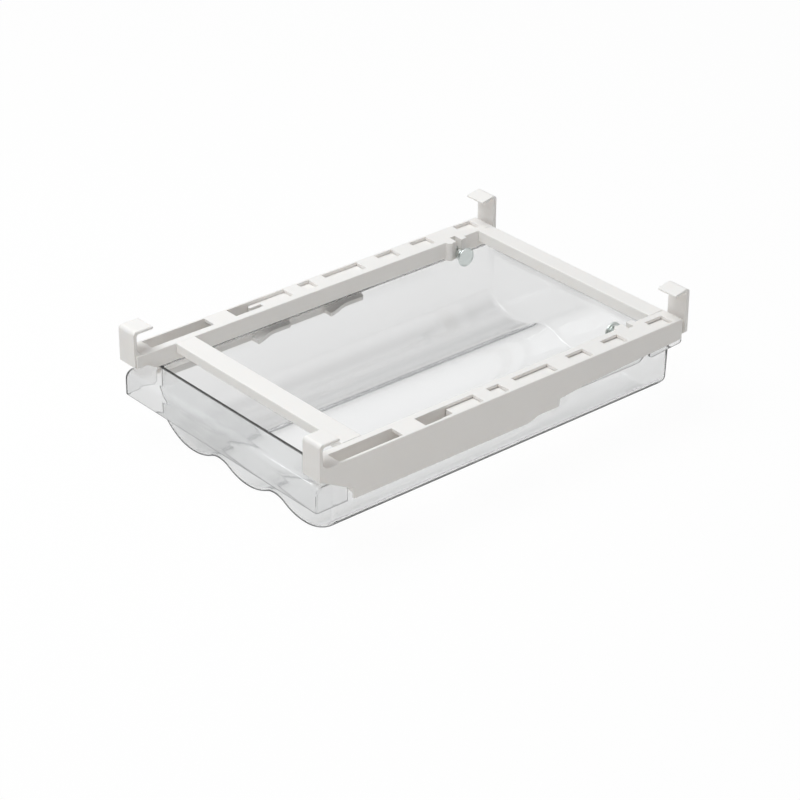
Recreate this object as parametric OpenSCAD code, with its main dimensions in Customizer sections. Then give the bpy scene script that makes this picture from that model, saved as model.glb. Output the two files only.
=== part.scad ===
// Slide-out drawer that hangs under a refrigerator shelf.
// A white frame lies against the underside of the shelf. Two fixed hooks grip the
// front edge and two adjustable hooks grip the rear edge. A clear tray with three
// lengthwise troughs slides on ledges inside the side rails.
// Sizes are in millimetres. X runs across, Y from the front to the rear, Z up.

/* [Frame] */
// Width across the outer faces of the side rails
frame_w = 200; // [180:2:260]
// Length of the side rails from the front face of the hooks
rail_l = 300; // [290:2:380]
// Depth from the front face to the back of the rear hooks as set
overall_d = 305; // [304:1:400]
// Width of a side rail seen from above
rail_w = 17.6; // [16.8:0.2:22]
// Thickness of the top of rails and bars
frame_top = 2; // [1.6:0.1:2.4]
// Thickness of the outer wall of a rail
frame_wall = 1.8; // [1.4:0.1:2.2]
// Width of the double inner side of a rail
inner_side_w = 4.8; // [4.4:0.1:6]
// Thickness of each wall of the double inner side
inner_wall = 1.4; // [1:0.1:1.6]
// Depth of the inner side below the top face
inner_side_h = 11.8; // [11:0.1:12.4]
// Radius along the upper edges of the rails
edge_r = 0.6; // [0.2:0.1:1]

/* [Crossbars] */
// Front face of the front crossbar, from the front
front_bar_y = 31; // [24:1:60]
// Width of the front crossbar
front_bar_w = 15; // [10:1:24]
// Height of the front crossbar
front_bar_h = 6.4; // [5:0.2:10]
// Width of the rear crossbar
rear_bar_w = 12.5; // [9:0.5:16]
// Height of the rear crossbar
rear_bar_h = 7.8; // [5:0.2:10]

/* [Windows] */
// Starts of the four front windows, from the front
front_win_y = [16, 83, 141, 162];
// Lengths of the four front windows
front_win_l = [49, 47, 10, 30];
// Gap from the rear end of each rear window to the rail end
rear_win_gap = [77.5, 47, 7];
// Length of a rear window
rear_win_l = 15; // [8:0.5:20]
// Width left between a window and the inner guide wall
win_margin = 0.4; // [0.2:0.1:2]

/* [Outer side] */
// Depth of the outer side at the front hooks
front_drop = 8; // [7:0.5:12]
// Depth at the end of the sloping front part
slope_drop = 20.3; // [16:0.1:22]
// Depth of the deep skirt
skirt_drop = 28.2; // [27:0.1:32]
// Depth of the skirt over the last ledge
skirt_end_drop = 25.4; // [25:0.1:27]
// Depth just behind the skirt
mid_drop = 20.2; // [18:0.1:22]
// Depth where the rear taper starts
taper_drop = 17.8; // [15:0.1:18]
// Depth at the rear end
rear_drop = 14.1; // [13:0.1:15]
// Length over which the side rises behind the skirt
rise_l = 22; // [10:1:40]

/* [Ledges] */
// Starts of the three ledges, from the front
ledge_y = [26, 102.4, 163.6];
// Lengths of the three ledges
ledge_l = [34, 28.1, 28.9];
// Reach of a ledge inward from the outer wall
ledge_reach = 7.2; // [5.4:0.2:8]
// Thickness of a ledge
ledge_t = 2.7; // [2:0.1:3.8]
// Drop of the lead-in at the front of the rear ledges
lead_drop = 3.5; // [1:0.1:3.6]
// Length of the lead-in
lead_l = 13.5; // [8:0.5:16]
// Depth of the stiffening rib under the first ledge
ledge_rib = 1.7; // [0.5:0.1:3]

/* [Front hooks] */
// Width of a hook
hook_w = 16; // [10:0.5:16.4]
// Clear gap for the shelf between rail top and hook
shelf_gap = 15; // [8:0.5:30]
// Thickness of the upper arm of a hook
hook_t = 2; // [1.6:0.1:3]
// Thickness of the upright plate
plate_t = 2.2; // [1.8:0.1:3]
// Length of the upper arm, plate included
front_reach = 15.1; // [12:0.5:24]
// Outer bend radius of the hooks
hook_r = 3; // [2.2:0.1:4]
// Radius of the gusset behind the plate
gusset_r = 5; // [1:0.5:6]

/* [Rear hooks] */
// Height of the rear hooks above the rail top
rear_rise = 21; // [12:0.5:40]
// Thickness of the rear upright plate
rear_plate_t = 2.4; // [1.8:0.1:3]
// Length of the upper arm, plate included
rear_reach = 12.6; // [9:0.5:20]
// Fall of the upper arm toward its tip
rear_fall = 1.7; // [0:0.1:3]
// Depth of the plate below the rail top
rear_plate_drop = 12; // [9:0.1:13.4]
// Radius of the corners of the plate
plate_r = 3; // [1:0.5:5]
// Length of the sliding arm, plate not included
arm_l = 194.6; // [150:0.2:210]
// Length of the tongue that runs on in front of the arm along its outer side
tongue_l = 9; // [4:0.5:14]
// Width of the tongue
tongue_w = 3.4; // [2:0.1:5]
// Height of the sliding arm
arm_h = 9.6; // [8.4:0.1:9.8]
// Wall thickness of the sliding arm
arm_wall = 1.6; // [1.2:0.1:2]

/* [Clamp] */
// Distance of the screw axis from the rail end
clamp_gap = 32.8; // [26:0.2:40]
// Depth of the screw axis below the rail top
clamp_drop = 10; // [9:0.1:10.4]
// Radius of the screw shank
screw_r = 2; // [1.5:0.25:2]
// Length of the screw from tip to head face
screw_l = 15.9; // [15:0.1:22]
// Distance that the right screw is backed out beyond the left one
right_back = 2; // [0:0.1:2.4]
// Radius of the disc head
head_r = 6.7; // [5:0.1:7]
// Thickness of the disc head at its rim
head_t = 1.2; // [0.9:0.1:2]
// Depth of the dish in the head face
head_dish = 0.4; // [0.2:0.1:0.6]
// Radius of the step behind the head
step_r = 5; // [3:0.1:6]
// Thickness of the step behind the head
step_t = 0.6; // [0.3:0.1:1]
// Radius of the neck between head and collar
neck_r = 2.6; // [2:0.1:3]
// Radius of the collar that stops the screw at the boss
collar_r = 3.9; // [3:0.1:5]
// Length of the collar
collar_l = 3; // [1:0.1:4]
// Distance from the collar to the boss
collar_gap = 0.7; // [0.5:0.1:1]
// Side of the square nut
nut_w = 7; // [5.5:0.1:7]
// Thickness of the nut
nut_t = 2.8; // [2:0.1:3]
// Reach of the clamp boss beyond the rail's inner face
boss_out = 2.9; // [2:0.1:4]
// Length of the boss in front of the slot
boss_front = 7.6; // [6:0.1:10]
// Length of the boss behind the slot
boss_rear = 4.9; // [4:0.1:8]
// Depth of the boss below the rail top
boss_h = 13; // [12.5:0.1:13.6]

/* [Tray] */
// Height of the tray from its base to its rim
tray_h = 50; // [40:1:120]
// Wall thickness of the tray
tray_wall = 1.8; // [1.2:0.1:2.4]
// Depth of the tray rim below the rail top
rim_drop = 14; // [14:0.5:16]
// Gap between the rail's outer wall and the tray lip
lip_gap = 1.9; // [0.5:0.1:2]
// Width of the side flange, lip included
flange_w = 9; // [8:0.2:11]
// Overhang of the tray behind the rail end
tray_over = 4.2; // [0.5:0.1:4.8]
// Height of the side lip
lip_h = 7.6; // [6:0.1:8.5]
// Height of the lip just behind the notch
rear_lip_h = 7.6; // [3:0.1:8.5]
// Height of the lip at its rear end
rear_lip_end = 5.9; // [3:0.1:8.5]
// Distance of the front wall from the front panel
hood_d = 20.5; // [16:0.5:26]
// Height of the front panel
hood_h = 17; // [11:0.5:19]
// Bend radius of the hood
hood_r = 6; // [3:0.5:8]
// Inward slope of the walls down to the base
draft = 0.9; // [0.2:0.1:1.4]
// Outer radius of a trough
trough_r = 40; // [36:1:60]
// Radius of the crest between troughs
crest_r = 20; // [8:1:30]
// Distance of the outer trough centres from the side wall
trough_edge = 31.3; // [24:0.1:32]
// Radius between the outer troughs and the side walls
corner_r = 6; // [3:0.5:8]
// Radius of the upright corners and of the lower front and rear edges
tray_r = 4; // [2.6:0.2:8]
// Depth of the low rear rim below the side rims
rear_rim_drop = 3.8; // [3.6:0.1:8]

/* [Fits] */
// Clearance around the sliding arm
arm_gap = 0.3; // [0.1:0.05:0.4]
// Clearance between the arm top and the rail
arm_top_gap = 0.4; // [0.2:0.05:0.6]
// Clearance between the lips and the ledges
ledge_gap = 0.3; // [0.2:0.05:0.6]
// Clearance between the tray hood and the rail skirt
closing_gap = 0.4; // [0.2:0.1:2]
// Radial clearance of the screw in the nut
thread_gap = 0.05; // [0.02:0.01:0.1]
// Clearance of the screw tip from the arm
tip_gap = 0.3; // [0.1:0.05:0.4]
// Clearance of the nut in its pocket
nut_gap = 0.1; // [0.05:0.05:0.3]

/* [Hidden] */
$fn = 64;
arc_steps = 8;
eps = 0.01;

frame_colour = "#f2f1ef";
hook_colour = "#efeeec";
metal_colour = "#bfc6c2";
tray_colour = [0.86, 0.88, 0.88, 0.75];

// Levels
z_rim = tray_h;
z_top = z_rim + rim_drop;
z_under = z_top - frame_top;
z_ledge = z_rim - lip_h - ledge_gap;

// Across a rail, measured inward from its outer face
guide_x = rail_w - inner_side_w;
win_x = guide_x - win_margin;
arm_x0 = frame_wall + arm_gap;
arm_x1 = guide_x - arm_gap - 0.2;
lip_x = frame_wall + lip_gap;
body_x = lip_x + flange_w;

// Along a rail, measured from the front
plate_y = overall_d - rear_plate_t;
clamp_y = rail_l - clamp_gap;
slot_w = 2 * screw_r + 0.4;
boss_y0 = clamp_y - slot_w / 2 - boss_front;
boss_y1 = clamp_y + slot_w / 2 + boss_rear;
rear_win_y = [for (g = rear_win_gap) rail_l - g - rear_win_l];
skirt_y0 = ledge_y[0];
skirt_y1 = ledge_y[2] + ledge_l[2];

// Arm
z_arm1 = z_under - arm_top_gap;
z_arm0 = z_arm1 - arm_h;
z_lug1 = z_arm0 - 0.2;
z_lug0 = z_lug1 - 1.2;
lug_reach = arm_gap + arm_wall;

// Screw, along X from the rail's outer face
tip_x = arm_x1 + tip_gap;
z_screw = z_top - clamp_drop;
pocket_x = guide_x + 1.4;

// Tray
body_half = frame_w / 2 - body_x;
pitch = body_half - trough_edge;
tray_y1 = rail_l + tray_over;
hood_y1 = skirt_y0 - closing_gap;
front_y = hood_d - 0.2;

function arc(c, r, a0, a1, n = arc_steps) =
    [for (i = [0:n]) let (a = a0 + (a1 - a0) * i / n) c + r * [cos(a), sin(a)]];
function smooth(t) = t * t * (3 - 2 * t);

// Outline drawn in the YZ plane, swept along X
module along_x(x0, x1)
    translate([x0, 0, 0]) rotate([90, 0, 90]) linear_extrude(x1 - x0) children();

// Outline drawn in the XZ plane, swept along Y
module along_y(y0, y1)
    translate([0, y1, 0]) rotate([90, 0, 0]) linear_extrude(y1 - y0) children();

module block(x0, x1, y0, y1, z0, z1)
    translate([x0, y0, z0]) cube([x1 - x0, y1 - y0, z1 - z0]);

// Moves from rail coordinates to the part's own origin under the middle of the tray
module on_left() translate([-frame_w / 2, -overall_d / 2, 0]) children();
module on_right() mirror([1, 0, 0]) on_left() children();

module outer_side() {
    rise = [for (i = [0:10]) let (t = i / 10)
        [ledge_y[2] + lead_l * t,
         z_top - skirt_drop + (skirt_drop - skirt_end_drop) * smooth(t)]];
    along_x(0, frame_wall) polygon(concat(
        [[plate_t / 2, z_under + eps], [plate_t / 2, z_top - front_drop],
         [skirt_y0 - 2, z_top - slope_drop], [skirt_y0, z_top - slope_drop],
         [skirt_y0, z_top - skirt_drop]],
        rise,
        arc([skirt_y1 - 2, z_top - skirt_end_drop + 2], 2, -90, 0),
        [[skirt_y1, z_top - mid_drop - 0.5], [skirt_y1 + 0.5, z_top - mid_drop],
         [skirt_y1 + rise_l, z_top - taper_drop], [rail_l, z_top - rear_drop],
         [rail_l, z_under + eps]]));
}

module rail_top() {
    difference() {
        along_y(plate_t / 2, rail_l) polygon(concat(
            [[0, z_under], [rail_w, z_under]],
            arc([rail_w - edge_r, z_top - edge_r], edge_r, 0, 90, 4),
            arc([edge_r, z_top - edge_r], edge_r, 90, 180, 4)));
        for (i = [0:len(front_win_y) - 1])
            block(frame_wall, win_x, front_win_y[i], front_win_y[i] + front_win_l[i],
                  z_under - 1, z_top + 1);
        for (y = rear_win_y)
            block(frame_wall, win_x, y, y + rear_win_l, z_under - 1, z_top + 1);
    }
}

// Two thin walls with cross ribs, closed at the ends
module inner_side() {
    z0 = z_top - inner_side_h;
    y0 = front_win_y[0] - 1;
    along_x(rail_w - inner_wall, rail_w) polygon([
        [plate_t / 2, z_under + eps], [plate_t / 2, z_top - front_drop],
        [y0 - 6, z_top - front_drop], [y0, z0], [rail_l, z0], [rail_l, z_under + eps]]);
    block(guide_x, guide_x + inner_wall, y0, rail_l, z0, z_under + eps);
    ribs = floor((rail_l - y0) / 28);
    for (i = [0:ribs])
        block(guide_x + eps, rail_w - eps, y0 + (rail_l - y0 - inner_wall) * i / ribs,
              y0 + (rail_l - y0 - inner_wall) * i / ribs + inner_wall, z0, z_under + eps);
}

// Ledge with a dipped lead-in at its front and a rounded inner rear corner
module ledge(y0, l) {
    x1 = frame_wall + ledge_reach;
    n = 12;
    lead = [for (i = [0:n]) let (t = i / n)
        [y0 + lead_l * t, z_ledge - lead_drop * (1 - smooth(t))]];
    intersection() {
        along_x(frame_wall - eps, x1) polygon(concat(
            lead, [[y0 + l, z_ledge], [y0 + l, z_ledge - ledge_t]],
            [for (i = [n:-1:0]) lead[i] - [0, ledge_t]]));
        translate([0, 0, z_ledge - 20]) linear_extrude(40) polygon(concat(
            [[0, y0 - 1], [x1, y0 - 1]],
            arc([x1 - 2.5, y0 + l - 2.5], 2.5, 0, 90), [[0, y0 + l]]));
    }
}

// Flat front ledge with a stiffening rib along its inner edge
module front_ledge(y0, l) {
    x1 = frame_wall + ledge_reach;
    block(frame_wall - eps, x1, y0, y0 + l, z_ledge - ledge_t, z_ledge);
    along_x(x1 - inner_wall, x1) polygon(concat(
        [[y0 + l, z_ledge - ledge_t + eps], [y0, z_ledge - ledge_t + eps]],
        arc([y0 + ledge_rib, z_ledge - ledge_t], ledge_rib, 180, 270),
        [[y0 + l, z_ledge - ledge_t - ledge_rib]]));
}

// Fixed hook: upright plate, upper arm and gusset in one outline
module front_hook() {
    z1 = z_top + shelf_gap + hook_t;
    ri = hook_r - 1;
    intersection() {
        along_x(0, hook_w) polygon(concat(
            [[0, z_top - front_drop]],
            arc([hook_r, z1 - hook_r], hook_r, 180, 90),
            arc([front_reach - hook_t / 2, z1 - hook_t / 2], hook_t / 2, 90, -90),
            arc([plate_t + ri, z1 - hook_t - ri], ri, 90, 180),
            arc([plate_t + gusset_r, z_top + gusset_r], gusset_r, 180, 270),
            [[plate_t + gusset_r, z_under], [plate_t, z_under],
             [plate_t, z_top - front_drop]]));
        along_y(-1, front_reach + 1) polygon(concat(
            [[0, z_top - front_drop], [hook_w, z_top - front_drop]],
            arc([hook_w - 1, z1 - 1], 1, 0, 90, 4), arc([1, z1 - 1], 1, 90, 180, 4)));
    }
}

// Boss that carries the clamp: two fins with a slot between them
module boss() {
    x1 = rail_w + boss_out;
    translate([0, 0, z_top - boss_h]) linear_extrude(boss_h) polygon(concat(
        [[guide_x, boss_y0], [rail_w, boss_y0]],
        arc([rail_w + 0.35, boss_y0 + 3.9], 3.6, -60, -8, 6),
        [[x1, boss_y0 + 4.6], [x1, boss_y1 - 1]],
        arc([x1 - 1, boss_y1 - 1], 1, 0, 90, 4),
        [[guide_x, boss_y1]]));
}

module boss_cuts() {
    block(guide_x + 0.8, rail_w + boss_out + 1, clamp_y - slot_w / 2, clamp_y + slot_w / 2,
          z_top - boss_h - 1, z_top + 1);
    block(pocket_x, pocket_x + nut_t + 2 * nut_gap, clamp_y - nut_w / 2 - nut_gap,
          clamp_y + nut_w / 2 + nut_gap, z_top - boss_h - 1, z_screw + nut_w / 2 + nut_gap);
    translate([guide_x - 1, clamp_y, z_screw]) rotate([0, 90, 0])
        cylinder(h = 4, r = screw_r + 0.2);
}

// Lugs under the small windows that carry the sliding arm
module lugs() {
    for (y = concat([front_win_y[2]], rear_win_y)) {
        l = y == front_win_y[2] ? front_win_l[2] : rear_win_l;
        block(frame_wall - eps, frame_wall + lug_reach, y + 1, y + l - 1, z_lug0, z_lug1);
        block(guide_x - lug_reach, guide_x + inner_wall, y + 1, y + l - 1, z_lug0, z_lug1);
        block(guide_x, guide_x + inner_wall, y + 1, y + l - 1, z_lug0, z_under);
    }
}

module rail() {
    color(frame_colour) difference() {
        union() {
            rail_top();
            outer_side();
            inner_side();
            front_ledge(ledge_y[0], ledge_l[0]);
            ledge(ledge_y[1], ledge_l[1]);
            ledge(ledge_y[2], ledge_l[2]);
            front_hook();
            lugs();
            boss();
        }
        boss_cuts();
    }
}

module left_rail() on_left() rail();
module right_rail() on_right() rail();

// Crossbar open below, butted between the inner faces of the rails
module crossbar(y0, w, h) {
    x = frame_w / 2 - rail_w;
    color(frame_colour) translate([0, -overall_d / 2, 0]) along_x(-x, x) polygon(concat(
        [[y0, z_top - h], [y0 + frame_top, z_top - h], [y0 + frame_top, z_under],
         [y0 + w - frame_top, z_under], [y0 + w - frame_top, z_top - h],
         [y0 + w, z_top - h]],
        arc([y0 + w - edge_r, z_top - edge_r], edge_r, 0, 90, 4),
        arc([y0 + edge_r, z_top - edge_r], edge_r, 90, 180, 4)));
}

module front_crossbar() crossbar(front_bar_y, front_bar_w, front_bar_h);
module rear_crossbar() crossbar(rail_l - rear_bar_w, rear_bar_w, rear_bar_h);

// Adjustable hook: plate and upper arm on a hollow bar that slides in the rail
module rear_hook() {
    z1 = z_top + rear_rise;
    z0 = z_top - rear_plate_drop;
    y1 = overall_d;
    tip = [y1 - rear_reach + hook_t / 2, z1 - rear_fall - hook_t / 2];
    ri = hook_r - 1;
    arm_y0 = plate_y - arm_l;
    tongue_x = arm_x0 + tongue_w;
    tr = tongue_w - 0.7;
    color(hook_colour) {
        intersection() {
            along_x(0, hook_w) polygon(concat(
                [[plate_y, z0], [y1, z0]],
                arc([y1 - hook_r, z1 - hook_r], hook_r, 0, 90),
                arc(tip, hook_t / 2, 90, 270),
                arc([plate_y - ri, z1 - hook_t - ri], ri, 90, 0)));
            along_y(y1 - rear_reach - 1, y1 + 1) polygon(concat(
                arc([plate_r, z0 + plate_r], plate_r, 180, 270),
                arc([hook_w - plate_r, z0 + plate_r], plate_r, 270, 360),
                arc([hook_w - 1, z1 - 1], 1, 0, 90, 4), arc([1, z1 - 1], 1, 90, 180, 4)));
        }
        difference() {
            translate([0, 0, z_arm0]) linear_extrude(arm_h) polygon(concat(
                [[arm_x0, plate_y + eps]],
                arc([arm_x0 + tr, arm_y0 - tongue_l + tr], tr, 180, 270),
                arc([tongue_x - 0.6, arm_y0 - tongue_l + 0.6], 0.6, 270, 360, 4),
                [[tongue_x, arm_y0]],
                arc([arm_x1 - 0.6, arm_y0 + 0.6], 0.6, 270, 360, 4),
                [[arm_x1, plate_y + eps]]));
            block(arm_x0 + arm_wall, arm_x1 - arm_wall, arm_y0 + 2 * arm_wall, plate_y,
                  z_arm0 - 1, z_arm1 - arm_wall);
        }
    }
}

module left_rear_hook() on_left() rear_hook();
module right_rear_hook() on_right() rear_hook();

// Thumb screw: dished disc head, step, neck, collar and shank with a chamfered tip
module clamp_screw(back) {
    collar0 = rail_w + boss_out + collar_gap - tip_x;
    head0 = screw_l - head_t;
    color(metal_colour) translate([tip_x + back, clamp_y, z_screw]) rotate([0, 90, 0])
        rotate_extrude() polygon([
            [0, 0], [screw_r - 0.4, 0], [screw_r, 0.4], [screw_r, collar0],
            [collar_r - 0.3, collar0], [collar_r, collar0 + 0.3],
            [collar_r, collar0 + collar_l - 0.3], [collar_r - 0.3, collar0 + collar_l],
            [neck_r, collar0 + collar_l], [neck_r, head0 - step_t],
            [step_r, head0 - step_t], [step_r, head0],
            [head_r - 0.3, head0], [head_r, head0 + 0.3],
            [head_r, screw_l - 0.3], [head_r - 0.3, screw_l], [head_r - 0.8, screw_l],
            [head_r - 1.1, screw_l - head_dish], [0, screw_l - head_dish]]);
}

module left_clamp_screw() on_left() clamp_screw(0);
module right_clamp_screw() on_right() clamp_screw(right_back);

// Square nut held in the pocket of the boss
module clamp_nut() {
    color(metal_colour) difference() {
        block(pocket_x + nut_gap, pocket_x + nut_gap + nut_t, clamp_y - nut_w / 2,
              clamp_y + nut_w / 2, z_screw - nut_w / 2, z_screw + nut_w / 2);
        translate([pocket_x - 1, clamp_y, z_screw]) rotate([0, 90, 0])
            cylinder(h = nut_t + 2, r = screw_r + thread_gap);
    }
}

module left_clamp_nut() on_left() clamp_nut();
module right_clamp_nut() on_right() clamp_nut();

// Lower outline of the tray across its width, inset by t from the outer skin:
// side wall, corner, outer flank, troughs and crests in one line from left to right
function tray_wave(t) = let (
    r = trough_r - t, k = crest_r + t, f = corner_r - t, s = trough_r + crest_r,
    zc = trough_r, zk = trough_r - sqrt(s * s - pitch * pitch / 4),
    wall = body_half - t - draft, fx = wall - f, fd = fx - pitch,
    fz = zc - sqrt((r - f) * (r - f) - fd * fd),
    af = atan2(zc - fz, fd), at = asin(pitch / 2 / s))
    concat(
        [[-(body_half - t), z_rim + 1]],
        arc([-fx, fz], f, 180, 180 + af, 5),
        arc([-pitch, zc], r, 180 + af, 270 + at, 16),
        arc([-pitch / 2, zk], k, 90 + at, 90 - at, 10),
        arc([0, zc], r, 270 - at, 270 + at, 14),
        arc([pitch / 2, zk], k, 90 + at, 90 - at, 10),
        arc([pitch, zc], r, 270 - at, 360 - af, 16),
        arc([fx, fz], f, 360 - af, 360, 5),
        [[body_half - t, z_rim + 1]]);

// Space inside the tray skin, inset by t; top_cut is the height where it ends
module tray_body(t, top) {
    r = tray_r - t;
    y0 = front_y + t;
    y1 = tray_y1 - t;
    intersection() {
        along_y(y0 - 1, y1 + 1) polygon(tray_wave(t));
        along_x(-body_half, body_half) polygon(concat(
            [[y0, top]], arc([y0 + draft + r, t + r], r, 180, 270),
            arc([y1 - draft - r, t + r], r, 270, 360), [[y1, top]]));
        translate([0, 0, -1]) linear_extrude(top + 2) polygon(concat(
            arc([-body_half + t + r, y0 + r], r, 180, 270),
            arc([body_half - t - r, y0 + r], r, 270, 360),
            arc([body_half - t - r, y1 - r], r, 0, 90),
            arc([-body_half + t + r, y1 - r], r, 90, 180)));
    }
}

// Hood outline in the YZ plane: top sheet, bend and front panel
module hood_outline() {
    polygon(concat(
        [[0, z_rim - hood_h], [tray_wall, z_rim - hood_h]],
        arc([hood_r, z_rim - hood_r], hood_r - tray_wall, 180, 90),
        [[front_y + 3, z_rim - tray_wall], [front_y + 3, z_rim]],
        arc([hood_r, z_rim - hood_r], hood_r, 90, 180)));
}

// Side lip with the closed end of the hood, the notch and the rear part
module side_lip() {
    z = z_rim - tray_wall + eps;
    notch_y0 = boss_y0 + 9;
    notch_y1 = notch_y0 + 9;
    polygon(concat(
        [[0, z_rim - hood_h]], [[hood_y1, z_rim - hood_h], [hood_y1, z_rim - lip_h]],
        [[notch_y0, z_rim - lip_h], [notch_y0 + 7.5, z]],
        [[notch_y1, z]],
        arc([notch_y1 + 2, z_rim - rear_lip_h + 2], 2, 180, 270),
        arc([tray_y1 - 2, z_rim - rear_lip_end + 2], 2, 270, 360),
        [[tray_y1, z_rim]],
        arc([hood_r, z_rim - hood_r], hood_r, 90, 180)));
}

module drawer_tray() {
    half = frame_w / 2 - lip_x;
    color(tray_colour) translate([0, -overall_d / 2, 0]) difference() {
        union() {
            tray_body(0, z_rim);
            block(-half, half, hood_r, tray_y1, z_rim - tray_wall, z_rim);
            along_x(-half, half) hood_outline();
            along_x(-half, -half + tray_wall) side_lip();
            along_x(half - tray_wall, half) side_lip();
        }
        tray_body(tray_wall, z_rim + 1);
        block(-body_half - 0.1, body_half + 0.1, tray_y1 - 2 * tray_wall, tray_y1 + 1,
              z_rim - rear_rim_drop, z_rim + 1);
    }
}

left_rail();
right_rail();
front_crossbar();
rear_crossbar();
left_rear_hook();
right_rear_hook();
left_clamp_screw();
right_clamp_screw();
left_clamp_nut();
right_clamp_nut();
drawer_tray();
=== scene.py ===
import math

import bmesh
import bpy
from mathutils import Matrix, Vector

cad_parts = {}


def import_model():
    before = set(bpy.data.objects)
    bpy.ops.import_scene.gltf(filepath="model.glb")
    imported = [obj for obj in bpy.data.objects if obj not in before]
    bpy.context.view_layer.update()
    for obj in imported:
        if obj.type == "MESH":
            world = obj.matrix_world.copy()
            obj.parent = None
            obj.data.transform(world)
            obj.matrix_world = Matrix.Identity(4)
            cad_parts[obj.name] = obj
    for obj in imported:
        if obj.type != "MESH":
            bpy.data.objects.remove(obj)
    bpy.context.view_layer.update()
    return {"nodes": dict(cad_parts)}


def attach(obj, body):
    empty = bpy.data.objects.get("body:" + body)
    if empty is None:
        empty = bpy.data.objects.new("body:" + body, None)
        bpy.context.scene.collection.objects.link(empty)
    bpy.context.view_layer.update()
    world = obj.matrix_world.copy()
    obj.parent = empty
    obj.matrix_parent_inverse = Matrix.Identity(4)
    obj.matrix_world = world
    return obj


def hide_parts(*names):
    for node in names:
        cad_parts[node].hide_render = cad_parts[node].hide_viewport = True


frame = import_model()
nodes = frame["nodes"]
scene = bpy.context.scene

# Camera, fitted to the photograph: metres, degrees, pixels, and the sensor in mm
CAMERA_PLACE = (1.1808, -1.0195, 0.8816)
AZIMUTH = 49.35
ELEVATION = 29.06
ROLL = 0.32
FOCAL_PX = 2766.6
IMAGE_PX = 800
SENSOR = 36
CLIP_NEAR = 0.05
CLIP_FAR = 20

# Floor in metres: half its side, and how far it lies under the tray
FLOOR_HALF = 6
FLOOR_DROP = 0.0004

# Brightness of the floor behind the plastic, near the middle and far out, and the distances between
# which it changes
FLOOR_NEAR_FAR = (0.92, 0.1)
FLOOR_STRETCH = (0.3, 0.85)

# Painted shade on the floor behind the plastic on the left: its share of that brightness, and the stretch
# over which it ends
FLOOR_LEFT_SHADE = 0.92
FLOOR_LEFT_SHADE_END = (-0.047, -0.022)

# Brightness of the floor in mirrors, and how much of its look is glow
FLOOR_MIRRORED = 0.2
FLOOR_GLOW = 0.95

# Colours
FRAME_WHITE = (0.90, 0.866, 0.834)
HOOK_WHITE = (0.896, 0.864, 0.833)
ZINC_DARK = (0.62, 0.66, 0.645, 1)
ZINC_PALE = (0.73, 0.77, 0.755, 1)
ZINC_EDGE_HIGHLIGHT = (0.97, 0.98, 0.98, 1)
CLEAR_BODY = (0.40, 0.42, 0.43, 1)
CLEAR_GRAZING_SHADE = (0.03, 0.031, 0.032, 1)
CLEAR_TO_LIGHT = (0.998, 0.998, 0.998, 1)
FLOOR_COLOUR = (0.93, 0.91, 0.885, 1)
DAYLIGHT = (0.965, 0.985, 1, 1)
KEY_COLOUR = (0.94, 0.98, 1.0)
WHITE = (1, 1, 1, 1)
BLACK = (0, 0, 0, 1)

# Painted shade in the left trough, with stripes of painted shadow along it: the stretches in metres over
# which it comes and goes, its strength, and the share, rate and offset of its stripes
SHADE_LEFT = (-0.086, -0.076)
SHADE_RIGHT = (-0.049, -0.03)
SHADE_FRONT = (-0.128, -0.121)
SHADE_REAR = (0.143, 0.149)
SHADE_TOP = (0.02, 0.032)
SHADE_DARK = 0.12
STRIPE_SHARE = 0.4
STRIPE_RATE = 370
STRIPE_OFFSET = 0.0707

# Painted shade, a dark line on the top of the front wall in metres: its place, the stretches over which it
# fades to its sides, to its foot and to its ends, and its strength
LINE_Y = -0.1311
LINE_SIDES = (0.0011, 0.0016)
LINE_FOOT = (0.0476, 0.0484)
LINE_ENDS = (0.0855, 0.0875)
LINE_DARK = 0.93

# Sizes of the tray in mm, the same as in the part's source, with y from the front panel
MM_PER_METRE = 1000
HALF_DEPTH = 152.5
SHEET = 1.8
TRAY_H = 50
TRAY_HALF = 96.3
BODY_HALF = 87.3
FRONT_FACE = 20.3
END_Y = 304.2
DRAFT = 0.9
TROUGH_R = 40
CREST_R = 20
CORNER_R = 6
TROUGH_EDGE = 31.3
PITCH = BODY_HALF - TROUGH_EDGE
HOOD_R = 6.0
HOOD_H = 17
LIP_H = 7.6
LIP_END_H = 5.9

# The draft of the side walls is measured from here, 1 mm above the rim
WALL_TOP = TRAY_H + 1

# Notch in the lip: its place and length, its top and the slope up to it, then the rounding of the lip
# behind it and at its rear end
NOTCH_START = 266.4
NOTCH_LENGTH = 9
NOTCH_END = NOTCH_START + NOTCH_LENGTH
NOTCH_TOP = 47.1
NOTCH_SLOPE = 0.773
LIP_ROUND = 2

# Middle surface of the sheet: flange, front wall, rear wall with its top, and side lip
HALF_SHEET = SHEET / 2
TOP_Z = TRAY_H - HALF_SHEET
FRONT_Y = FRONT_FACE + HALF_SHEET
REAR_Y = END_Y - HALF_SHEET
REAR_TOP = 46.7
SIDE_X = TRAY_HALF - HALF_SHEET

# Its bends: from the pan into the flange, from the flange into the lip, and from the pan up into an
# end wall, at the sides and at the floor
RIM_R = 0.02
SIDE_R = 1.15
FILLET = 2.9
FLOOR_FILLET = 2.1

# Where the bends start: top of the walls, edge of the flat flange, and front of the even pan
RIM_Z = TOP_Z - RIM_R
FLANGE_X = SIDE_X - SIDE_R
START_Y = FRONT_Y + FILLET

# Lower edges of the front panel, of the lip, and of the lip's rear end
HOOD_LOW = TRAY_H - HOOD_H
LIP_LOW = TRAY_H - LIP_H
LIP_END_LOW = TRAY_H - LIP_END_H

# Steps of the mesh over each form. Of the turn into an end wall, the first ones run beside the lip
CORNER_STEPS = 8
TROUGH_STEPS = 22
CREST_STEPS = 16
TURN_STEPS = 7
SIDE_TURN_STEPS = 4
HOOD_STEPS = 8
LIP_BEND_STEPS = 5
WALL_STEPS = 4
FLAT_STEPS = 3
LONG_STEPS = 20

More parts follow.
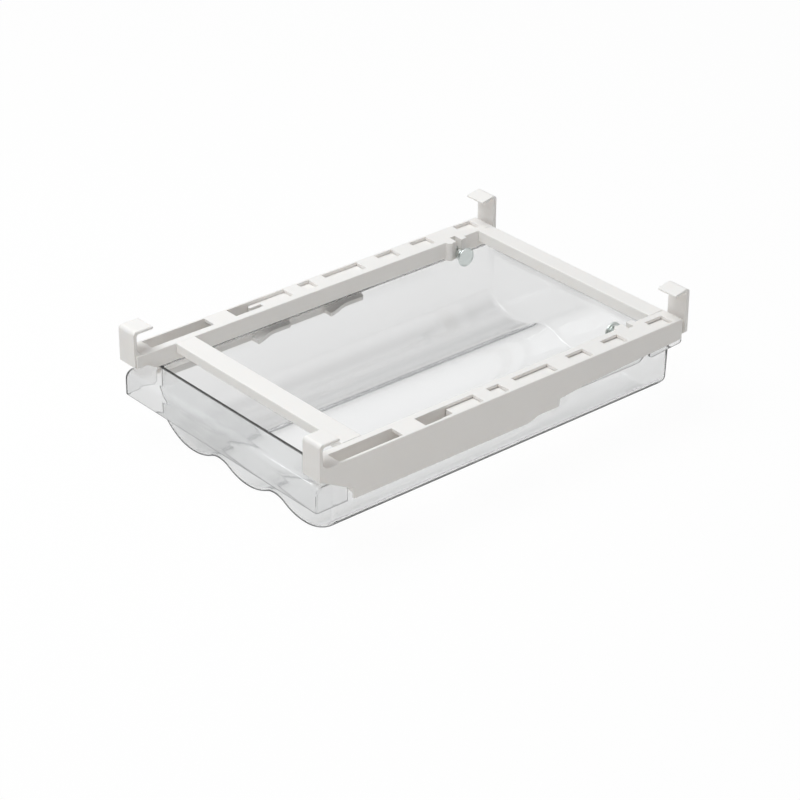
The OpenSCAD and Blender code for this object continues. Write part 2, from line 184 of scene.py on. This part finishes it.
# Points of the pan's section, counted from the rim, where the bend radius starts to change and how
# many more it takes
BLEND_START = 10
BLEND_POINTS = 9

# Sections along the pan: end of the even stretch, then distances from the start of the notch.
# Sections of the rounded end of the lip: distances from its end
EVEN_END = 262
NOTCH_SECTIONS = (0, 1.5, 3, 4.5, 6.1, 7.6, 8.8, 9.05, 9.4, 10.1, 11, 15.6, 21.6, 27.6)
LIP_END_SECTIONS = (2.9, 2, 1.2, 0.6, 0.2, 0)

# Distances in metres under which two points are one and an edge has no length
SAME_POINT = 4e-6
NO_LENGTH = 2e-6

# Rounding of the sheet's cut edges in mm, and the angles in degrees from which an edge is rounded or
# shaded as sharp
EDGE_R = 0.3
ROUND_FROM = 50
SHARP_FROM = 40

# Slack in mm for comparing two places
SLACK = 1e-6


def camera():
    az, el, roll = (math.radians(a) for a in (AZIMUTH, ELEVATION, ROLL))
    look = Vector((-math.sin(az) * math.cos(el), math.cos(az) * math.cos(el), -math.sin(el)))
    level = Vector((math.cos(az), math.sin(az), 0))
    above = level.cross(look)
    right = math.cos(roll) * level + math.sin(roll) * above
    up = -math.sin(roll) * level + math.cos(roll) * above
    data = bpy.data.cameras.new("camera")
    data.sensor_width = SENSOR
    data.lens = FOCAL_PX * SENSOR / IMAGE_PX
    data.clip_start = CLIP_NEAR
    data.clip_end = CLIP_FAR
    cam = bpy.data.objects.new("camera", data)
    columns = (right, up, -look, Vector(CAMERA_PLACE))
    cam.matrix_world = Matrix([[c[i] for c in columns] for i in range(3)] + [[0, 0, 0, 1]])
    scene.collection.objects.link(cam)
    scene.camera = cam


class Nodes:
    """Fills a node tree. An input is a value, or the output of another node to link."""

    def __init__(self, tree):
        self.tree = tree
        self.tree.nodes.clear()

    def add(self, kind, inputs=None, **settings):
        node = self.tree.nodes.new(kind)
        for name, value in settings.items():
            setattr(node, name, value)
        for name, value in (inputs or {}).items():
            if isinstance(value, bpy.types.NodeSocket):
                self.tree.links.new(value, node.inputs[name])
            else:
                node.inputs[name].default_value = value
        return node

    def ramp(self, value, over, to, shape="LINEAR"):
        inputs = {"Value": value, "From Min": over[0], "From Max": over[1], "To Min": to[0], "To Max": to[1]}
        return self.add("ShaderNodeMapRange", inputs, interpolation_type=shape).outputs["Result"]

    def smooth(self, value, over, to=(0, 1)):
        return self.ramp(value, over, to, "SMOOTHSTEP")

    def maths(self, operation, a, b=0.0):
        return self.add("ShaderNodeMath", {0: a, 1: b}, operation=operation).outputs[0]

    def product(self, first, *others):
        for other in others:
            first = self.maths("MULTIPLY", first, other)
        return first

    def blend(self, share, first, second):
        inputs = {"Fac": share, "Color1": first, "Color2": second}
        return self.add("ShaderNodeMixRGB", inputs).outputs["Color"]

    def place(self):
        return self.add("ShaderNodeTexCoord").outputs["Object"]

    def noise(self, scale, detail, place=None):
        inputs = {"Vector": place or self.place(), "Scale": scale, "Detail": detail}
        return self.add("ShaderNodeTexNoise", inputs).outputs["Fac"]

    def rounded(self, radius):
        return self.add("ShaderNodeBevel", {"Radius": radius}, samples=6).outputs["Normal"]

    def bump(self, height, strength, distance, normal=None):
        inputs = {"Strength": strength, "Distance": distance, "Height": height}
        if normal:
            inputs["Normal"] = normal
        return self.add("ShaderNodeBump", inputs).outputs["Normal"]


def material(name):
    mat = bpy.data.materials.new(name)
    mat.use_nodes = True
    return mat, Nodes(mat.node_tree)


def frame_plastic(name, colour):
    """White moulding with a fine grain and slightly uneven colour and gloss."""
    mat, m = material(name)
    grain = m.noise(scale=1400, detail=2)
    cloud = m.noise(scale=18, detail=3)
    darker = [c * 0.985 for c in colour]
    paler = [min(1, c * 1.012) for c in colour]
    tint = m.blend(cloud, (*darker, 1), (*paler, 1))
    rough = m.ramp(cloud, (0.3, 0.7), (0.36, 0.46))
    normal = m.bump(grain, strength=0.06, distance=0.0002, normal=m.rounded(0.00045))
    surface = m.add("ShaderNodeBsdfPrincipled", {
        "Base Color": tint, "Roughness": rough, "IOR": 1.49, "Subsurface Weight": 0.12,
        "Subsurface Radius": (0.9, 0.8, 0.7), "Subsurface Scale": 0.0012, "Normal": normal})
    m.add("ShaderNodeOutputMaterial", {"Surface": surface.outputs["BSDF"]})
    return mat


def zinc():
    """Plated steel, with a painted highlight along its edges."""
    mat, m = material("zinc")
    grain = m.noise(scale=900, detail=4)
    tint = m.blend(m.noise(scale=160, detail=2), ZINC_DARK, ZINC_PALE)
    rough = m.ramp(grain, (0.3, 0.7), (0.12, 0.2))
    soft = m.rounded(0.0004)
    flat = m.add("ShaderNodeNewGeometry").outputs["Normal"]
    alike = m.add("ShaderNodeVectorMath", {0: soft, 1: flat}, operation="DOT_PRODUCT").outputs["Value"]
    # Painted highlight: the colour turns nearly white where the rounded normal leaves the flat one, along
    # the edges
    colour = m.blend(m.smooth(alike, (0.7, 0.97), (1, 0)), tint, ZINC_EDGE_HIGHLIGHT)
    normal = m.bump(grain, strength=0.04, distance=0.0002, normal=soft)
    surface = m.add("ShaderNodeBsdfPrincipled", {
        "Base Color": colour, "Metallic": 1.0, "Roughness": rough, "Normal": normal})
    m.add("ShaderNodeOutputMaterial", {"Surface": surface.outputs["BSDF"]})
    return mat


def trough_shade(m, x, y, z):
    """The left trough looks darker in the photograph, with soft stripes along it."""
    # Painted shade: the left trough's tint darkens, with soft stripes of painted shadow along it
    across = m.product(m.smooth(x, SHADE_LEFT, (0, SHADE_DARK)), m.smooth(x, SHADE_RIGHT, (1, 0)))
    wave = m.maths("SINE", m.product(m.maths("ADD", x, STRIPE_OFFSET), STRIPE_RATE))
    stripes = m.maths("SUBTRACT", 1, m.product(wave, STRIPE_SHARE))
    return m.product(across, stripes, m.smooth(y, SHADE_REAR, (1, 0)), m.smooth(y, SHADE_FRONT),
                     m.smooth(z, SHADE_TOP, (1, 0)))


def rim_painted_shade(m, x, y, z):
    """The top of the front wall is a dark line in the photograph."""
    # Painted shade: a dark line on the top of the front wall, where the clear wall is seen edge-on
    from_wall = m.maths("ABSOLUTE", m.maths("SUBTRACT", y, LINE_Y))
    from_middle = m.maths("ABSOLUTE", x)
    return m.product(m.smooth(from_wall, LINE_SIDES, (LINE_DARK, 0)), m.smooth(z, LINE_FOOT),
                     m.smooth(from_middle, LINE_ENDS, (1, 0)))


def clear_plastic():
    """Clear moulding with painted shade at grazing angles, in the left trough and atop the front wall, with
    faint flow marks and uneven gloss.
    """
    mat, m = material("clear")
    place = m.place()
    drawn = m.add("ShaderNodeMapping", {"Vector": place, "Scale": (1, 0.18, 1)}).outputs["Vector"]
    normal = m.bump(m.noise(scale=38, detail=2, place=drawn), strength=0.3, distance=0.0005)
    rough = m.ramp(m.noise(scale=90, detail=4), (0.35, 0.75), (0.015, 0.075))
    split = m.add("ShaderNodeSeparateXYZ", {0: place})
    xyz = [split.outputs[axis] for axis in "XYZ"]
    shade = m.blend(m.maths("MAXIMUM", trough_shade(m, *xyz), rim_painted_shade(m, *xyz)), WHITE, BLACK)
    # Painted shade: the tint darkens to near black where the sheet is seen at grazing angles, for its dark
    # edges
    facing = m.add("ShaderNodeLayerWeight", {"Blend": 0.5, "Normal": normal}).outputs["Facing"]
    tint = m.blend(m.smooth(facing, (0.79, 0.95)), shade, CLEAR_GRAZING_SHADE)
    surface = m.add("ShaderNodeBsdfPrincipled", {
        "Base Color": tint, "Roughness": rough, "IOR": 1.52, "Transmission Weight": 0.93, "Normal": normal})
    body = m.add("ShaderNodeVolumeAbsorption", {"Color": CLEAR_BODY, "Density": 38.0})
    # Shadow and diffuse rays go straight through, so light reaches what is behind the plastic
    path = m.add("ShaderNodeLightPath")
    lighting = m.maths("MAXIMUM", path.outputs["Is Shadow Ray"], path.outputs["Is Diffuse Ray"])
    open_to_light = m.add("ShaderNodeBsdfTransparent", {"Color": CLEAR_TO_LIGHT})
    inputs = {0: lighting, 1: surface.outputs["BSDF"], 2: open_to_light.outputs["BSDF"]}
    mix = m.add("ShaderNodeMixShader", inputs)
    m.add("ShaderNodeOutputMaterial", {"Surface": mix.outputs[0], "Volume": body.outputs["Volume"]})
    return mat


def floor_paint():
    """White to the camera, and darker where it is seen through the clear plastic or mirrored, with painted
    shade on its left behind the plastic.
    """
    mat, m = material("floor")
    path = m.add("ShaderNodeLightPath")
    through = path.outputs["Is Transmission Ray"]
    mirrored = path.outputs["Is Glossy Ray"]
    place = m.place()
    distance = m.add("ShaderNodeVectorMath", {0: place}, operation="LENGTH").outputs["Value"]
    x = m.add("ShaderNodeSeparateXYZ", {0: place}).outputs["X"]
    # Painted shade: behind the plastic, the left part of the floor is a little darker
    behind = m.product(m.smooth(distance, FLOOR_STRETCH, FLOOR_NEAR_FAR),
                       m.smooth(x, FLOOR_LEFT_SHADE_END, (FLOOR_LEFT_SHADE, 1)))
    direct = m.add("ShaderNodeMix", {0: mirrored, 2: 1.0, 3: FLOOR_MIRRORED}).outputs[0]
    level = m.add("ShaderNodeMix", {0: through, 2: direct, 3: behind}).outputs[0]
    seen = m.maths("MAXIMUM", m.maths("MAXIMUM", path.outputs["Is Camera Ray"], through), mirrored)
    paint = m.add("ShaderNodeBsdfDiffuse", {"Color": FLOOR_COLOUR})
    glow = m.add("ShaderNodeEmission", {"Color": WHITE, "Strength": level})
    inputs = {0: m.product(seen, FLOOR_GLOW), 1: paint.outputs[0], 2: glow.outputs[0]}
    mix = m.add("ShaderNodeMixShader", inputs)
    m.add("ShaderNodeOutputMaterial", {"Surface": mix.outputs[0]})
    return mat


def floor():
    mesh = bpy.data.meshes.new("floor")
    s = FLOOR_HALF
    mesh.from_pydata([(-s, -s, 0), (s, -s, 0), (s, s, 0), (-s, s, 0)], [], [(0, 1, 2, 3)])
    mesh.materials.append(floor_paint())
    o = bpy.data.objects.new("floor", mesh)
    o.location.z = -FLOOR_DROP
    scene.collection.objects.link(o)


def light(name, place, size, power, colour=(1, 1, 1)):
    """Rectangular lamp, pointed at the origin."""
    data = bpy.data.lights.new(name, "AREA")
    data.shape = "RECTANGLE"
    data.size, data.size_y = size
    data.energy = power
    data.color = colour
    o = bpy.data.objects.new(name, data)
    o.location = place
    o.rotation_euler = (-Vector(place)).to_track_quat("-Z", "Y").to_euler()
    scene.collection.objects.link(o)


def world():
    """Plain daylight, with another sky in mirrors and through the plastic, and white to the camera."""
    w = bpy.data.worlds.new("world")
    scene.world = w
    w.use_nodes = True
    m = Nodes(w.node_tree)
    direction = m.add("ShaderNodeTexCoord").outputs["Generated"]
    up = m.add("ShaderNodeSeparateXYZ", {0: direction}).outputs["Z"]
    mirrored = m.ramp(up, (0.15, 0.75), (0.25, 1.0))
    behind = m.ramp(up, (0.05, 0.9), (0.08, 0.7))
    path = m.add("ShaderNodeLightPath")
    result = m.add("ShaderNodeBackground", {"Color": DAYLIGHT, "Strength": 0.42})
    for ray, level in (("Is Glossy Ray", mirrored), ("Is Transmission Ray", behind), ("Is Camera Ray", 1.0)):
        other = m.add("ShaderNodeBackground", {"Color": WHITE, "Strength": level})
        inputs = {0: path.outputs[ray], 1: result.outputs[0], 2: other.outputs[0]}
        result = m.add("ShaderNodeMixShader", inputs)
    m.add("ShaderNodeOutputWorld", {"Surface": result.outputs[0]})


def between(a, b, steps):
    """Even steps from a to b, without a itself."""
    return [a + (b - a) * i / steps for i in range(1, steps + 1)]


def quarter_turn(steps):
    return [0.0] + between(0, math.pi / 2, steps)


def arc(cx, cz, radius, a0, a1, steps):
    angles = [a0] + between(a0, a1, steps)
    return [(cx + radius * math.cos(a), cz + radius * math.sin(a)) for a in angles]


def rows_between(first, second):
    """Rows of points from one row over to another, both included."""
    return [[tuple(p + (q - p) * i / FLAT_STEPS for p, q in zip(a, b)) for a, b in zip(first, second)]
            for i in range(FLAT_STEPS + 1)]


def whole(left):
    """A row from its left half, which ends on the middle."""
    return left + [(-x, y, z) for x, y, z in reversed(left[:-1])]


def section(inset):
    """Section across the pan at an inset from its outer skin, as (x, z) from the left rim to the right."""
    reach = TROUGH_R + CREST_R
    crest_z = TROUGH_R - math.sqrt(reach ** 2 - PITCH ** 2 / 4)
    corner_x = BODY_HALF - DRAFT - CORNER_R
    corner_z = TROUGH_R - math.sqrt((TROUGH_R - CORNER_R) ** 2 - (corner_x - PITCH) ** 2)
    corner_turn = math.atan2(TROUGH_R - corner_z, corner_x - PITCH)
    crest_turn = math.asin(PITCH / 2 / reach)
    left, up, down = math.pi, math.pi / 2, math.pi * 3 / 2
    trough = TROUGH_R - inset
    crest = CREST_R + inset
    lean = DRAFT / (WALL_TOP - corner_z)
    wall = [(-(BODY_HALF - inset) + lean * (WALL_TOP - z), z) for z in (RIM_Z, REAR_TOP)]
    half = (wall + arc(-corner_x, corner_z, CORNER_R - inset, left, left + corner_turn, CORNER_STEPS)
            + arc(-PITCH, TROUGH_R, trough, left + corner_turn, down + crest_turn, TROUGH_STEPS)[1:]
            + arc(-PITCH / 2, crest_z, crest, up + crest_turn, up - crest_turn, CREST_STEPS)[1:]
            + arc(0, TROUGH_R, trough, down - crest_turn, down, TROUGH_STEPS // 2)[1:])
    return half + [(-x, z) for x, z in reversed(half[:-1])]


def front_wall(z):
    """Place of the front wall at a height. The draft takes it inwards down to the floor."""
    return FRONT_Y + DRAFT * (RIM_Z - z) / RIM_Z


def rear_wall(z):
    return REAR_Y - DRAFT * (RIM_Z - z) / RIM_Z


def bend_radii(count):
    """Radius of the bend into an end wall at each point of the section: smaller at the floor."""
    shares = [(min(i, count - 1 - i) - BLEND_START) / BLEND_POINTS for i in range(count)]
    return [FILLET + (FLOOR_FILLET - FILLET) * min(1, max(0, share)) for share in shares]


def upright(wall, foot):
    """Rows up an end wall. Between the side walls they stop at the height of the rear rim."""
    rows = []
    for i in range(WALL_STEPS + 1):
        row = []
        for x, z in foot:
            top = REAR_TOP if z <= REAR_TOP else RIM_Z
            level = z + (top - z) * i / WALL_STEPS
            row.append((x, wall(level), level))
        rows.append(row)
    return rows


def pan(ys, radii, rings):
    """Troughs and side walls, the bends at both ends, and the front and rear wall."""
    base = section(HALF_SHEET)
    turns = quarter_turn(TURN_STEPS)
    along = [[(x, front_wall(z) + r, z) for (x, z), r in zip(base, radii)]]
    along += [[(x, y, z) for x, z in base] for y in ys[1:-1]]
    along.append([(x, rear_wall(z) - r, z) for (x, z), r in zip(base, radii)])
    front_bend = [[(x, front_wall(z) + r * (1 - math.sin(a)), z) for (x, z), r in zip(ring, radii)]
                  for a, ring in zip(turns, rings)]
    rear_bend = [[(x, rear_wall(z) - r * (1 - math.sin(a)), z) for (x, z), r in zip(ring, radii)][1:-1]
                 for a, ring in zip(turns, rings)]
    front = upright(front_wall, rings[-1])
    front.append([(x, FRONT_Y, RIM_Z) for x, z in rings[-1]])
    rear = upright(rear_wall, rings[-1][1:-1])
    return [along, front_bend, rear_bend, front, rear]


def rim(ys, rings):
    """The sharp bend from the pan out to the flange: its lower and upper row, with (u, v) the way out."""
    outline = rings[-1]
    loop = [(section(HALF_SHEET)[0][0], y, -1, 0) for y in reversed(ys)]
    loop += [(ring[0][0], FRONT_Y + FILLET * (1 - math.sin(a)), -math.cos(a), -math.sin(a))
             for a, ring in zip(quarter_turn(TURN_STEPS)[1:], rings[1:])]
    loop += [(x, FRONT_Y, 0, -1) for x, z in outline[1:len(outline) // 2 + 1]]
    return [whole([(x + u * out, y + v * out, z) for x, y, u, v in loop])
            for out, z in ((0, RIM_Z), (RIM_R, TOP_Z))]


def hood_levels():
    """Heights down the front panel: to the lower edge of the lips, then to its own."""
    return between(TRAY_H - HOOD_R, LIP_LOW, FLAT_STEPS) + between(LIP_LOW, HOOD_LOW, FLAT_STEPS)


def hood_curve():
    """Bend from the flange into the front panel, as (y, z)."""
    return arc(HOOD_R, TRAY_H - HOOD_R, HOOD_R - HALF_SHEET, math.pi / 2, math.pi, HOOD_STEPS)


def lip_low(y):
    """Lower edge of the side lip: straight, up into the notch, then on to the rounded end."""
    after = NOTCH_END + LIP_ROUND
    last = END_Y - LIP_ROUND
    if y < NOTCH_END:
        return min(NOTCH_TOP, LIP_LOW + max(0, y - NOTCH_START) * NOTCH_SLOPE)
    if y < after:
        return LIP_LOW + LIP_ROUND - math.sqrt(LIP_ROUND ** 2 - (after - y) ** 2)
    if y <= last:
        return LIP_LOW + (LIP_END_LOW - LIP_LOW) * (y - after) / (last - after)
    return LIP_END_LOW + LIP_ROUND - math.sqrt(max(0, LIP_ROUND ** 2 - (y - last) ** 2))


def left_side(side_ys, rim_x):
    """Bend along the left of the flange and hood, the lip, the side of the hood, the end of the flange."""
    tail = [REAR_Y - FILLET] + [END_Y - distance for distance in LIP_END_SECTIONS]
    levels = hood_levels()
    # Points (y, z) along the start of the bend, each with the way (u, v) in which it turns
    track = [(y, TOP_Z, 0, -1) for y in tail[:0:-1] + side_ys]
    track += [(y, z, math.sin(a), -math.cos(a))
              for (y, z), a in zip(hood_curve()[1:], quarter_turn(HOOD_STEPS)[1:])]
    track += [(HALF_SHEET, z, 1, 0) for z in levels]
    bend = []
    for a in quarter_turn(LIP_BEND_STEPS):
        out = SIDE_R * math.sin(a)
        back = SIDE_R * (1 - math.cos(a))
        bend.append([(-(FLANGE_X + out), y + u * back, z + v * back) for y, z, u, v in track])
    edge = bend[-1][:-len(levels)]
    lip = rows_between(edge, [(x, y, lip_low(y)) for x, y, z in edge])
    at_hood = [(x, y) for x, y, z in edge if y <= START_Y + SLACK]
    hood_side = [[(x, y, z) for x, y in at_hood] for z in levels[FLAT_STEPS - 1:]]
    flange_end = rows_between([(rim_x, y, TOP_Z) for y in tail], [(-FLANGE_X, y, TOP_Z) for y in tail])
    return [bend, lip, hood_side, flange_end]


def tray_surface():
    """Middle surface of the tray as patches, each a grid of points in mm."""
    ys = [START_Y] + between(START_Y, EVEN_END, LONG_STEPS)
    ys += [NOTCH_START + distance for distance in NOTCH_SECTIONS] + [REAR_Y - FILLET]
    radii = bend_radii(len(section(HALF_SHEET)))
    rings = [[section(HALF_SHEET + r * (1 - math.cos(a)))[i] for i, r in enumerate(radii)]
             for a in quarter_turn(TURN_STEPS)]
    outline = rings[-1]
    bend = rim(ys, rings)

    # Flange out to its flat edge, which runs along the side and then along the hood
    side_ys = ys[::-1] + between(START_Y, HOOD_R, SIDE_TURN_STEPS)
    hood_xs = [-FLANGE_X] + between(-FLANGE_X, outline[0][0], TURN_STEPS - SIDE_TURN_STEPS)
    hood_xs += [x for x, z in outline[1:len(outline) // 2 + 1]]
    flat_edge = [(-FLANGE_X, y, TOP_Z) for y in side_ys[:-1]] + [(x, HOOD_R, TOP_Z) for x in hood_xs]
    flange = rows_between(bend[-1], whole(flat_edge))

    hood_line = hood_curve() + [(HALF_SHEET, z) for z in hood_levels()]
    hood = [whole([(x, y, z) for x in hood_xs]) for y, z in hood_line]
    left = left_side(side_ys, bend[-1][0][0])
    right = [[[(-x, y, z) for x, y, z in row] for row in patch] for patch in left]
    return pan(ys, radii, rings) + [bend, flange, hood] + left + right


def tray_mesh():
    """Joins the patches, thickens them to the sheet and rounds its cut edges."""
    verts = []
    faces = []
    for patch in tray_surface():
        start = len(verts)
        wide = len(patch[0])
        verts += [(x / MM_PER_METRE, (y - HALF_DEPTH) / MM_PER_METRE, z / MM_PER_METRE)
                  for row in patch for x, y, z in row]
        for row in range(len(patch) - 1):
            for column in range(wide - 1):
                a = start + row * wide + column
                faces.append((a, a + 1, a + wide + 1, a + wide))
    mesh = bpy.data.meshes.new("tray")
    mesh.from_pydata(verts, [], faces)
    bm = bmesh.new()
    bm.from_mesh(mesh)
    bmesh.ops.remove_doubles(bm, verts=bm.verts, dist=SAME_POINT)
    bmesh.ops.dissolve_degenerate(bm, edges=bm.edges, dist=NO_LENGTH)
    bmesh.ops.recalc_face_normals(bm, faces=bm.faces)
    bm.to_mesh(mesh)
    bm.free()
    o = bpy.data.objects.new("clear_tray", mesh)
    scene.collection.objects.link(o)
    shell = o.modifiers.new("shell", "SOLIDIFY")
    shell.thickness = SHEET / MM_PER_METRE
    shell.offset = 0
    shell.use_even_offset = True
    edges = o.modifiers.new("edges", "BEVEL")
    edges.limit_method = "ANGLE"
    edges.angle_limit = math.radians(ROUND_FROM)
    edges.width = EDGE_R / MM_PER_METRE
    edges.segments = 2
    edges.use_clamp_overlap = False
    depsgraph = bpy.context.evaluated_depsgraph_get()
    final = bpy.data.meshes.new_from_object(o.evaluated_get(depsgraph))
    o.modifiers.clear()
    o.data = final
    final.shade_smooth()
    final.set_sharp_from_angle(angle=math.radians(SHARP_FROM))
    return o


def dress(piece, mat):
    piece.data.materials.clear()
    piece.data.materials.append(mat)


camera()
world()
floor()
light("key", place=(-0.32, -0.38, 1.3), size=(1.05, 1.05), power=14.0, colour=KEY_COLOUR)
light("fill", place=(1.5, -0.3, 0.6), size=(1.4, 0.9), power=0.4)

white = frame_plastic("frame_white", FRAME_WHITE)
hooks = frame_plastic("hook_white", HOOK_WHITE)
metal = zinc()
clear = clear_plastic()
for name, piece in nodes.items():
    if name == "drawer_tray":
        dress(piece, clear)
    elif "screw" in name or "nut" in name:
        dress(piece, metal)
    elif "rear_hook" in name:
        dress(piece, hooks)
    else:
        dress(piece, white)

tray = tray_mesh()
dress(tray, clear)
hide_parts("drawer_tray")
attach(tray, "drawer")

scene.view_settings.view_transform = "Standard"
